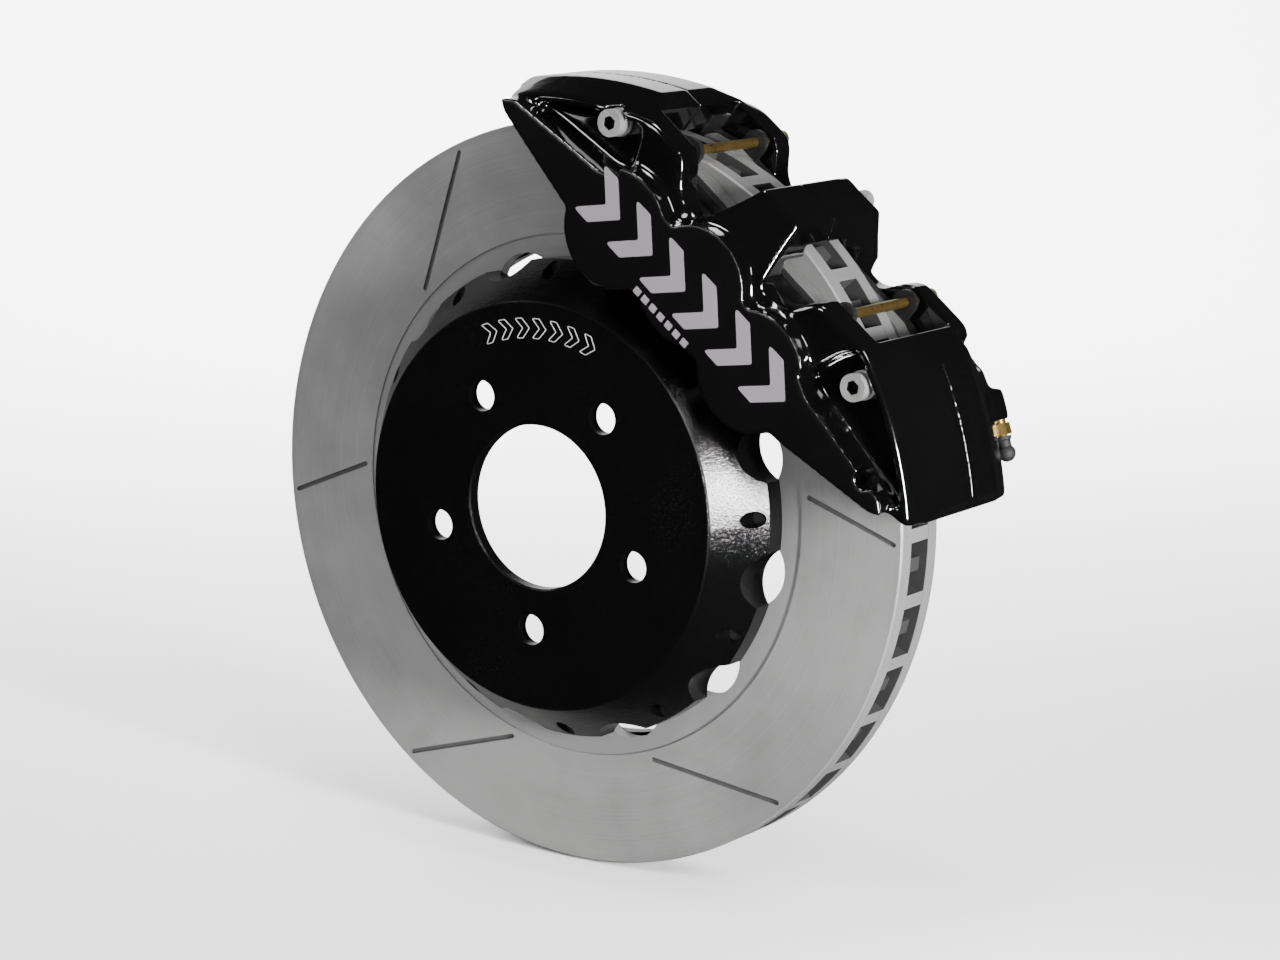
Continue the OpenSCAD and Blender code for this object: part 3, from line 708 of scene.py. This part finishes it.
class BRAKE_OT_pads(bpy.types.Operator):
    """Finish the brake pads"""

    bl_idname = "brake.pads"
    bl_label = "Brake pads"

    def execute(self, context):
        steel = pad_backing()
        lining = friction_lining(context.scene.disc_look)
        for side in ("outboard", "inboard"):
            dress(f"{side}_backing_plate", steel, 0.4)
            dress(f"{side}_lining", lining, 0.5)
        return {"FINISHED"}


class BRAKE_OT_pins(bpy.types.Operator):
    """Finish the pad pins and their clips"""

    bl_idname = "brake.pins"
    bl_label = "Pad pins"

    def execute(self, context):
        gold = plated_steel("Gold zinc pins", (0.2, 0.135, 0.042), 0.3, (6, 0.6, 6),
                            scratch=0.02, scale=500.0, metal=0.9)
        clip = plated_steel("Spring steel clips", (0.5, 0.5, 0.5), 0.3)
        for end in ("upper", "lower"):
            dress(f"{end}_pad_pin", gold, 0.3)
        dress("pad_pin_clips", clip, 0.1)
        return {"FINISHED"}


class BRAKE_OT_bleeders(bpy.types.Operator):
    """Finish the bleed screws and their caps"""

    bl_idname = "brake.bleeders"
    bl_label = "Bleed screws"

    def execute(self, context):
        brass = plated_steel("Gold zinc bleed screws", (0.22, 0.145, 0.042), 0.3, metal=0.9)
        rubber = moulded_rubber("Black cap rubber", 0.004)
        for end in ("upper", "lower"):
            dress(f"{end}_bleed_screw", brass, 0.3)
            dress(f"{end}_bleed_cap", rubber, 0.25, 2, 40.0)
        return {"FINISHED"}


class BRAKE_OT_face_mark(bpy.types.Operator):
    """Print a row of chevrons and a row of small blocks on the caliper's face"""

    bl_idname = "brake.face_mark"
    bl_label = "Caliper face mark"

    def execute(self, context):
        look = context.scene.caliper_look
        height = look.mark_height / MM
        ink = printed_mark("Lilac grey ink", look.mark_colour)
        arrow = rounded(chevron(23.0, height, 7.6), 1.3)
        wide, tall = 1.9, 1.7
        block = rounded([(-wide, -tall), (wide, -tall), (wide, tall), (-wide, tall)], 0.5)
        sunk, thickness = 0.15, 0.3
        outlines = []
        for shape, count, pitch, middle_u, row_v in (
                (arrow, 6, 23.5, -2.5, 142.0), (block, 7, 5.6, -5.0, 123.6)):
            for k in range(count):
                centre = middle_u + (k - (count - 1) / 2) * pitch
                outlines.append([(centre + a, row_v + b) for a, b in shape])

        def on_face(u, v, rise):
            return along_rim(u, v, PLATE_FACE - sunk + rise)

        piece = raised_shapes("face_mark", outlines, on_face, thickness)
        piece.data.materials.append(ink)
        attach(piece, "caliper")
        return {"FINISHED"}


class BRAKE_OT_hat_mark(bpy.types.Operator):
    """Draw a small arc of outlined chevrons on the hat's face"""

    bl_idname = "brake.hat_mark"
    bl_label = "Hat mark"

    def execute(self, context):
        ink = printed_mark("Pale grey line", context.scene.disc_look.hat_mark_colour)
        shape = rounded(chevron(8.0, 9.4, 2.9), 0.5, 3)
        row_r, proud = 85.6, 0.02
        count, start, span = 7, 108.0, 39.0
        for k in range(count):
            angle = math.radians(start - k * span / (count - 1))

            def on_hat(a, b, angle=angle):
                r = row_r + b
                turn = angle - a / row_r
                return Vector((r * math.cos(turn), HAT_FACE - proud, r * math.sin(turn))) * MM

            curve = ribbon_outline(f"hat_mark_{k + 1}", shape, on_hat, 0.2)
            piece = link(bpy.data.objects.new(f"hat_mark_{k + 1}", curve))
            curve.materials.append(ink)
            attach(piece, "rotor")
        return {"FINISHED"}


class BRAKE_OT_stage(bpy.types.Operator):
    """Set up the paper, the soft boxes and the camera"""

    bl_idname = "brake.stage"
    bl_label = "Studio"

    def execute(self, context):
        look = context.scene.stage_look
        self.lay_paper(look)
        self.light(context, look)
        self.aim_camera(context, look)
        return {"FINISHED"}

    def lay_paper(self, look):
        """A floor just under the disc that bends up into a wall."""
        floor = DISC_LOW.z * MM - 0.001
        near, bend, sweep, top, half_width = -9.0, 1.6, 0.9, 3.4, 7.0
        profile = [(near, 0.0), (bend, 0.0)]
        for k in range(1, 10):
            angle = math.radians(10 * k)
            profile.append((bend + sweep * math.sin(angle), sweep - sweep * math.cos(angle)))
        profile.append((bend + sweep, top))
        bm = bmesh.new()
        rows = []
        for reach in (-half_width, half_width):
            rows.append([bm.verts.new(PAPER_AWAY * a + PAPER_SIDE * reach + Vector((0, 0, floor + b)))
                         for a, b in profile])
        for k in range(len(profile) - 1):
            bm.faces.new((rows[0][k], rows[1][k], rows[1][k + 1], rows[0][k + 1]))
        mesh = bpy.data.meshes.new("paper")
        bm.to_mesh(mesh)
        bm.free()
        for face in mesh.polygons:
            face.use_smooth = True
        paper = link(bpy.data.objects.new("paper", mesh))
        mesh.materials.append(studio_paper(look.paper_colour))
        paper.visible_glossy = False

    def room(self, look):
        """The even light of a room, brighter beyond the paper and darker in polished surfaces."""
        world = bpy.data.worlds.new("Room")
        world.use_nodes = True
        nodes = Nodes(world.node_tree)
        polished = nodes.node("ShaderNodeLightPath", {}, output="Is Glossy Ray")
        camera = nodes.node("ShaderNodeLightPath", {}, output="Is Camera Ray")
        lit = nodes.node("ShaderNodeMapRange", {}, polished,
                         To_Min=look.room_light, To_Max=look.gloss_light)
        strength = nodes.node("ShaderNodeMapRange", {}, camera,
                              To_Min=lit, To_Max=look.horizon_light)
        sky = nodes.node("ShaderNodeBackground", {}, ROOM_COLOUR, strength)
        nodes.node("ShaderNodeOutputWorld", {}, sky, output=None)
        return world

    def light(self, context, look):
        """The room's light, and soft boxes that the camera doesn't see."""
        context.scene.world = self.room(look)
        for name, (spot, target, wide, tall, power, spread) in SOFT_BOXES.items():
            lamp = bpy.data.lights.new(name, "AREA")
            lamp.shape = "RECTANGLE"
            lamp.size = wide
            lamp.size_y = tall
            lamp.energy = power * look.lamp_power
            lamp.spread = math.radians(spread)
            holder = link(bpy.data.objects.new(name, lamp))
            holder.location = spot
            holder.visible_camera = False
            towards = Vector(target) - Vector(spot)
            holder.rotation_euler = towards.to_track_quat("-Z", "Y").to_euler()

    def aim_camera(self, context, look):
        """Stands the camera at its place, level, and looking ahead."""
        lens = bpy.data.cameras.new("Camera")
        lens.sensor_width = 36.0
        lens.lens = look.lens
        ahead = Vector(CAMERA_AHEAD)
        right = Vector(CAMERA_RIGHT)
        up = right.cross(ahead)
        stand = Matrix((right, up, -ahead)).transposed().to_4x4()
        stand.translation = Vector(CAMERA_PLACE)
        camera = link(bpy.data.objects.new("Camera", lens))
        camera.matrix_world = stand
        context.scene.camera = camera


class BRAKE_PT_panel(bpy.types.Panel):
    """Shows the sizes and colours of the looks, and a button for each step of the build"""

    bl_idname = "BRAKE_PT_panel"
    bl_label = "Brake caliper"
    bl_space_type = "VIEW_3D"
    bl_region_type = "UI"
    bl_category = "Brake"

    def draw(self, context):
        for look in ("caliper_look", "disc_look", "stage_look"):
            box = self.layout.box()
            group = getattr(context.scene, look)
            for key in group.__annotations__:
                box.prop(group, key)
        for operator in OPERATORS:
            self.layout.operator(operator.bl_idname)


LOOKS = {"caliper_look": CaliperLook, "disc_look": DiscLook, "stage_look": StageLook}
OPERATORS = (
    BRAKE_OT_disc, BRAKE_OT_hat, BRAKE_OT_castings, BRAKE_OT_fasteners, BRAKE_OT_pistons,
    BRAKE_OT_pads, BRAKE_OT_pins, BRAKE_OT_bleeders, BRAKE_OT_face_mark, BRAKE_OT_hat_mark,
    BRAKE_OT_stage,
)


def register():
    for name, group in LOOKS.items():
        bpy.utils.register_class(group)
        setattr(bpy.types.Scene, name, PointerProperty(type=group))
    for operator in OPERATORS:
        bpy.utils.register_class(operator)
    bpy.utils.register_class(BRAKE_PT_panel)


def unregister():
    bpy.utils.unregister_class(BRAKE_PT_panel)
    for operator in reversed(OPERATORS):
        bpy.utils.unregister_class(operator)
    for name, group in reversed(LOOKS.items()):
        delattr(bpy.types.Scene, name)
        bpy.utils.unregister_class(group)


def main():
    register()
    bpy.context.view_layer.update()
    for operator in OPERATORS:
        group, name = operator.bl_idname.split(".")
        getattr(getattr(bpy.ops, group), name)()


if __name__ == "__main__":
    main()
